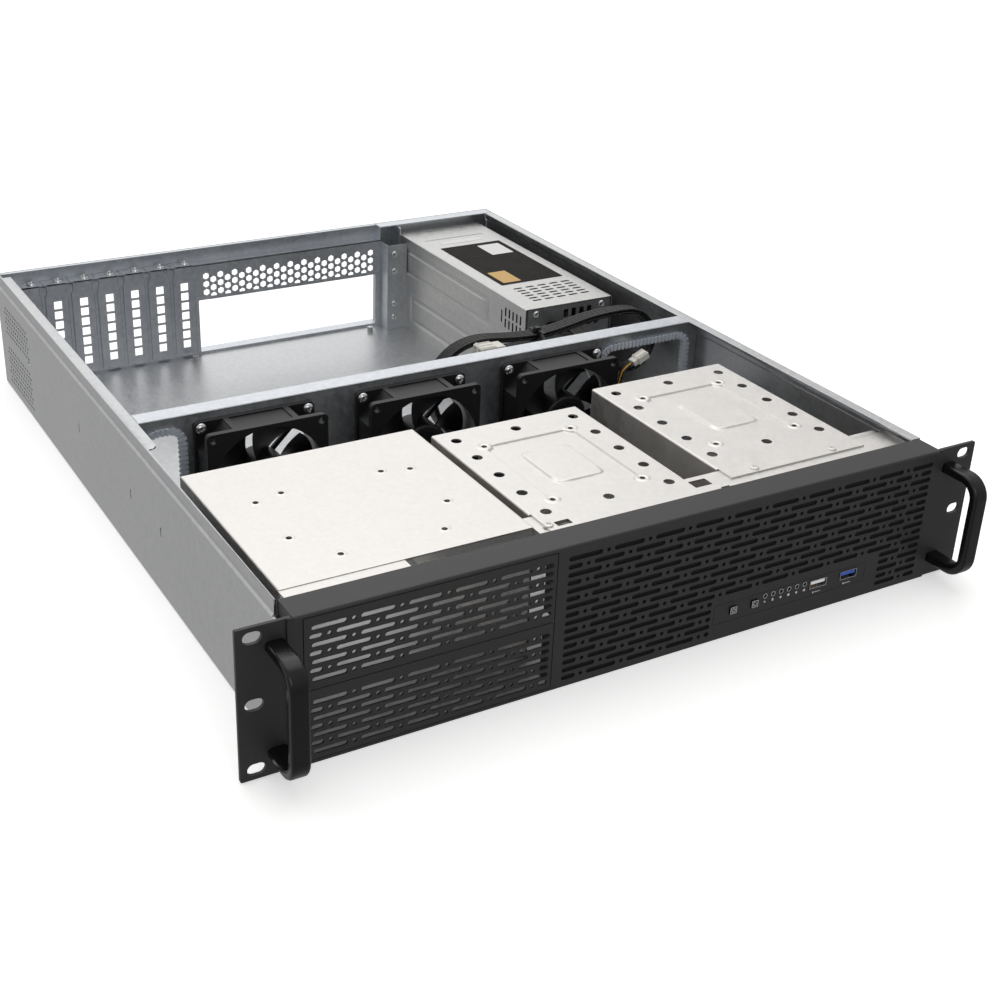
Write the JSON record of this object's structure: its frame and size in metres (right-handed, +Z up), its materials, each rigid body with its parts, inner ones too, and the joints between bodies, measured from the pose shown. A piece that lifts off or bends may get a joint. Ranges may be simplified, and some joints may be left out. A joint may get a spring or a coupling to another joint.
{
  "type": "rackmount server case",
  "caption": "Empty low rackmount server case without its lid: vented front with handles, drive cages, fan wall, power supply and slotted rear.",
  "frame": {"origin": "middle of the whole box (handles included) on the case's underside", "axes": "+Y from the front to the rear, +Z up, X across the rack width"},
  "size_m": [0.4826, 0.5792, 0.088],
  "materials": {
    "black_paint": "satin",
    "zinc_sheet": "satin",
    "cable_sheath": "matte",
    "white_nylon": "satin",
    "handle_metal": "gloss",
    "clear_plastic": "gloss",
    "screw_steel": "polished",
    "psu_sheet": "satin",
    "black_plastic": "matte",
    "board": "satin",
    "bare_aluminium": "satin",
    "lamp_plastic": "gloss"
  },
  "bodies": {
    "case": {"bay_cage": "zinc_sheet", "bay_cover_lower": "black_paint", "bay_cover_upper": "black_paint", "bezel": "black_paint", "cable_tie": "black_plastic", "chassis_tray": "zinc_sheet", "drive_cable": "cable_sheath", "drive_cage_middle": "zinc_sheet", "drive_cage_right": "zinc_sheet", "drive_plug": "white_nylon", "ear_left": "black_paint", "ear_right": "black_paint", "edge_trim_left": "clear_plastic", "edge_trim_right": "clear_plastic", "fan_frame_1": "black_plastic", "fan_frame_2": "black_plastic", "fan_frame_3": "black_plastic", "fan_lead": "cable_sheath", "fan_lead_plug": "white_nylon", "fan_screws": "screw_steel", "fan_wall": "zinc_sheet", "front_board": "board", "front_board_posts": "zinc_sheet", "front_lamps": "lamp_plastic", "front_rail": "zinc_sheet", "front_switches": "black_plastic", "handle_left": "handle_metal", "handle_right": "handle_metal", "main_cable": "cable_sheath", "main_plug": "black_plastic", "psu_base": "psu_sheet", "psu_board": "board", "psu_bracket": "zinc_sheet", "psu_capacitors": "black_plastic", "psu_cover": "psu_sheet", "psu_fan_frame": "black_plastic", "psu_fan_guard": "screw_steel", "psu_heat_sinks": "bare_aluminium", "psu_inlet": "black_plastic", "psu_transformer": "black_plastic", "rear_panel": "zinc_sheet", "slot_cover_1": "zinc_sheet", "slot_cover_2": "zinc_sheet", "slot_cover_3": "zinc_sheet", "slot_cover_4": "zinc_sheet", "slot_cover_5": "zinc_sheet", "slot_cover_6": "zinc_sheet", "slot_cover_7": "zinc_sheet", "standoffs": "zinc_sheet", "usb_shells": "screw_steel", "usb_tongues": "black_plastic"},
    "fan_rotor_1": {"fan_rotor_1": "black_plastic"},
    "fan_rotor_2": {"fan_rotor_2": "black_plastic"},
    "fan_rotor_3": {"fan_rotor_3": "black_plastic"},
    "psu_fan_rotor": {"psu_fan_rotor": "black_plastic"},
    "power_button": {"power_button": "black_plastic"},
    "reset_button": {"reset_button": "black_plastic"}
  },
  "joints": [
    {"name": "fan_spin_1", "type": "hinge", "parent": "case", "child": "fan_rotor_1", "pos_m": [-0.1327, -0.0315, 0.0434], "axis": [0, 1, 0], "continuous": true},
    {"name": "fan_spin_2", "type": "hinge", "parent": "case", "child": "fan_rotor_2", "pos_m": [-0.0227, -0.0315, 0.0434], "axis": [0, 1, 0], "continuous": true},
    {"name": "fan_spin_3", "type": "hinge", "parent": "case", "child": "fan_rotor_3", "pos_m": [0.0873, -0.0315, 0.0434], "axis": [0, 1, 0], "continuous": true},
    {"name": "psu_fan_spin", "type": "hinge", "parent": "case", "child": "psu_fan_rotor", "pos_m": [0.1595, 0.2805, 0.0535], "axis": [0, 1, 0], "continuous": true},
    {"name": "power_press", "type": "slide", "parent": "case", "child": "power_button", "axis": [0, 1, 0], "range_m": [0, 0.0008], "stiffness_N_per_m": 1500, "springref_m": -0.0004},
    {"name": "reset_press", "type": "slide", "parent": "case", "child": "reset_button", "axis": [0, 1, 0], "range_m": [0, 0.0008], "stiffness_N_per_m": 1500, "springref_m": -0.0004}
  ]
}
